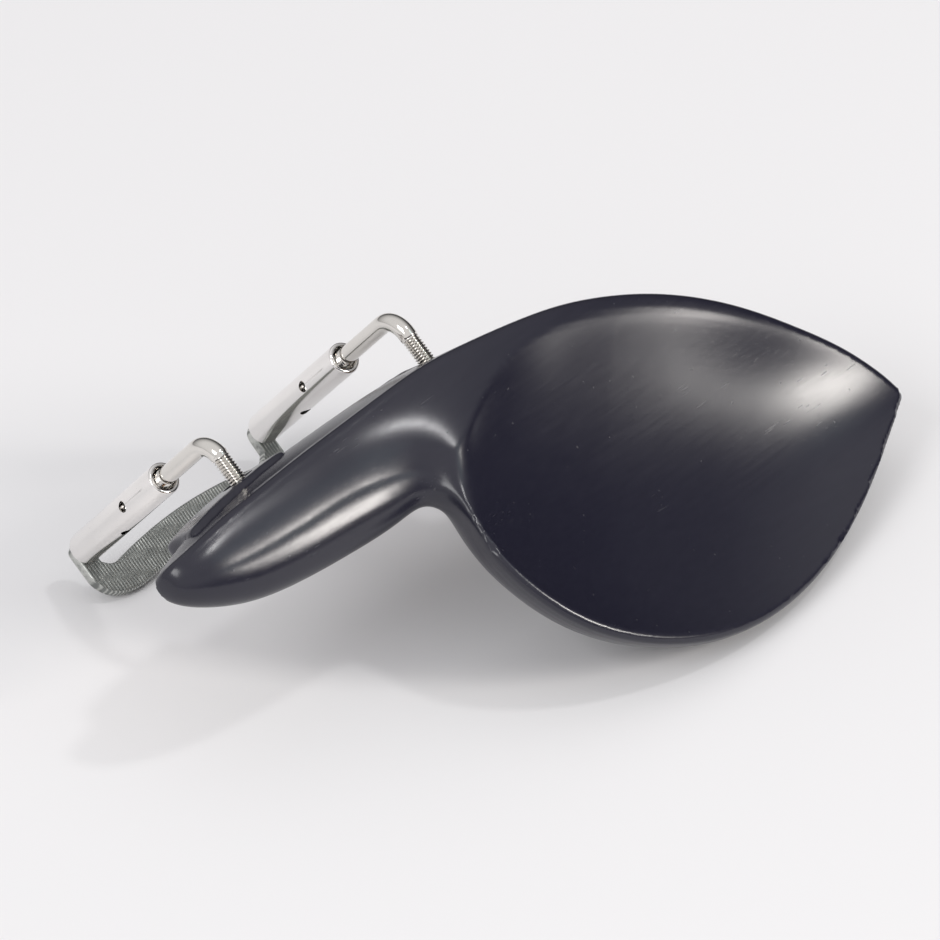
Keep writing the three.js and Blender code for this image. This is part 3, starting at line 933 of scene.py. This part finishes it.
def band_loop(x):
    """A section of the band, with both its faces and its rounded edges."""
    low, high = outer_edge(abs(x)), inner_edge(abs(x))
    end = BAND_HALF - abs(x)
    edge = min(BAND_EDGE, 0.45 * (high - low))
    thick = BAND_THICK / 2
    if end < BAND_EDGE:
        thick -= BAND_EDGE - math.sqrt(max(0.0, BAND_EDGE ** 2 - (BAND_EDGE - end) ** 2))
    middle = BAND_TOP - BAND_THICK / 2
    loop = []
    for y in np.linspace(low + edge, high - edge, 12):
        loop.append((x, y, middle + thick - rib(x, y)))
    for turn in np.linspace(0, math.pi / 2, 4)[1:]:
        loop.append((x, high - edge + edge * math.sin(turn), middle + thick - edge * (1 - math.cos(turn))))
    for turn in np.linspace(0, math.pi / 2, 4):
        loop.append((x, high - edge + edge * math.cos(turn), middle - thick + edge * (1 - math.sin(turn))))
    for y in np.linspace(high - edge, low + edge, 6)[1:]:
        loop.append((x, y, middle - thick))
    for turn in np.linspace(0, math.pi / 2, 4)[1:]:
        loop.append((x, low + edge - edge * math.sin(turn), middle - thick + edge * (1 - math.cos(turn))))
    for turn in np.linspace(0, math.pi / 2, 4)[:-1]:
        loop.append((x, low + edge - edge * math.cos(turn), middle + thick - edge * (1 - math.sin(turn))))
    return np.array(loop)


body_stations = np.arange(-BAND_HALF + BAND_EDGE, BAND_HALF - BAND_EDGE, RIB_PITCH / 7)
cap = BAND_EDGE * (1 - np.cos(np.linspace(0.15, math.pi / 2, 6)))
stations = np.concatenate([-BAND_HALF + cap, body_stations[1:], BAND_HALF - cap[::-1]])
band = clean(build("ribbed_foot", *stack([band_loop(x) for x in stations])))
print("the band has", len(stations), "stations")

# %% The legs
for side, (x, _) in HOOKS.items():
    foot_of_leg = BAND_TOP - BAND_THICK / 2
    leg_length = ROD_IN_BARREL + FOOT_GAP + BAND_THICK / 2
    rings = []
    for along in np.arange(0, leg_length - TIP_LENGTH, THREAD_PITCH / TURN_STEPS):
        radius = thread_radius(along, BAND_THICK / 2 + 0.2, leg_length + THREAD_PITCH, -1)
        rings.append(ring_at(np.array((x, 0, foot_of_leg + along)), np.array((0, 0, 1.0)), radius))
    tip = np.array((x, 0, foot_of_leg + leg_length))
    rings.append(ring_at(tip, np.array((0, 0, 1.0)), np.full(ROD_SIDES, ROD_RADIUS - TIP_INSET)))
    cut(band, clean(build("leg_" + side, *stack(rings))), "UNION")
settle(band, ribbed_nickel(RIB_PITCH), "foot", "clamp_foot")

# %% [markdown]
# ## The setting
# The rest lies on a pale sweep in a light studio. The floor is wide enough to fill the view, and
# its faint unevenness keeps it from looking drawn.

# %% Floor
def pale_floor():
    look = Look("pale_sweep")
    soft = look.noise((1, 1, 1), detail=2)
    pale = look.blend(soft, (0.81, 0.805, 0.82, 1), (0.84, 0.835, 0.845, 1))
    return look.finish(Base_Color=pale, Roughness=0.75)


FLOOR_HALF = 6.0
corners = [(x * FLOOR_HALF, y * FLOOR_HALF, 0) for x, y in ((-1, -1), (1, -1), (1, 1), (-1, 1))]
floor = build("floor", corners, [(0, 1, 2, 3)])
floor.data.materials.append(pale_floor())

# %% [markdown]
# The camera stands about a metre away with a long lens, as for a product picture. It looks down at
# some 36 degrees from the side of the arm, and is turned a degree and a half off level.

# %% Camera
CAMERA_BACK = Vector((-0.59995, -0.54427, 0.58637)).normalized()
CAMERA_UP = Vector((0.45495, 0.37079, 0.80965))
CAMERA_PLACE = Vector((-0.7056, -0.6393, 0.7089))
SENSOR = 36.0
LENS = 284.5
camera_data = bpy.data.cameras.new("camera")
camera_data.sensor_width = SENSOR
camera_data.lens = LENS
camera_data.clip_start = 0.05
camera = bpy.data.objects.new("camera", camera_data)
bpy.context.scene.collection.objects.link(camera)
camera_right = CAMERA_UP.cross(CAMERA_BACK).normalized()
turned_axes = Matrix((camera_right, CAMERA_BACK.cross(camera_right), CAMERA_BACK)).transposed().to_4x4()
camera.matrix_world = Matrix.Translation(CAMERA_PLACE) @ turned_axes
bpy.context.scene.camera = camera

# %% [markdown]
# Polished black wood shows its lights and little else. A tall soft box low on the right draws the
# highlight at the cup's tip and the one along the arm. A small box overhead puts the spark on the
# arm's end, a box on the left casts the shadow under the neck, and a weak cool one tints the arm.

# %% Lights
LIGHT_DISTANCE = 2.0


def soft_box(name, towards, size, power, colour=(1, 1, 1)):
    """An area light in a direction from the middle of the rest, facing it."""
    middle = (cad_box[0] + cad_box[1]) / 2
    data = bpy.data.lights.new(name, "AREA")
    data.shape = "RECTANGLE"
    data.size, data.size_y = size
    data.energy = power
    data.color = colour
    lamp = bpy.data.objects.new(name, data)
    bpy.context.scene.collection.objects.link(lamp)
    direction = Vector(towards).normalized()
    lamp.location = middle + direction * LIGHT_DISTANCE
    lamp.rotation_euler = direction.to_track_quat("Z", "Y").to_euler()
    return lamp


soft_box("key_box", (0.37, -0.82, 0.43), (0.32, 0.64), 19, (1.0, 0.965, 0.92))
soft_box("top_box", (0.20, -0.33, 0.92), (0.16, 0.16), 4)
soft_box("left_box", (-0.77, -0.04, 0.64), (0.8, 0.8), 10)
soft_box("cool_box", (0.30, -0.62, 0.72), (0.7, 0.7), 0.8, (0.7, 0.95, 1.0))

# %% [markdown]
# The room lights the floor and the nickel evenly from above and from the left. It is nearly dark low
# on the right, where the cup looks, or the black wood would turn grey.

# %% The room
room = Look("studio", bpy.data.worlds)
towards = room.node("ShaderNodeTexCoord", output="Generated")
bright_side = Vector((-0.52, 0.05, 0.85)).normalized()
both = {0: towards, 1: bright_side}
facing = room.node("ShaderNodeVectorMath", {"operation": "DOT_PRODUCT"}, both, "Value")
reach = {"Value": facing, "From Min": -0.3, "From Max": 0.8, "To Min": 0.04, "To Max": 0.8}
shine = room.node("ShaderNodeMapRange", {"interpolation_type": "SMOOTHSTEP"}, reach)
glow = room.node("ShaderNodeBackground", {}, {"Color": (1.0, 0.99, 1.0, 1), "Strength": shine})
room.node("ShaderNodeOutputWorld", {}, {"Surface": glow})
bpy.context.scene.world = room.owner
bpy.context.scene.view_settings.view_transform = "Standard"
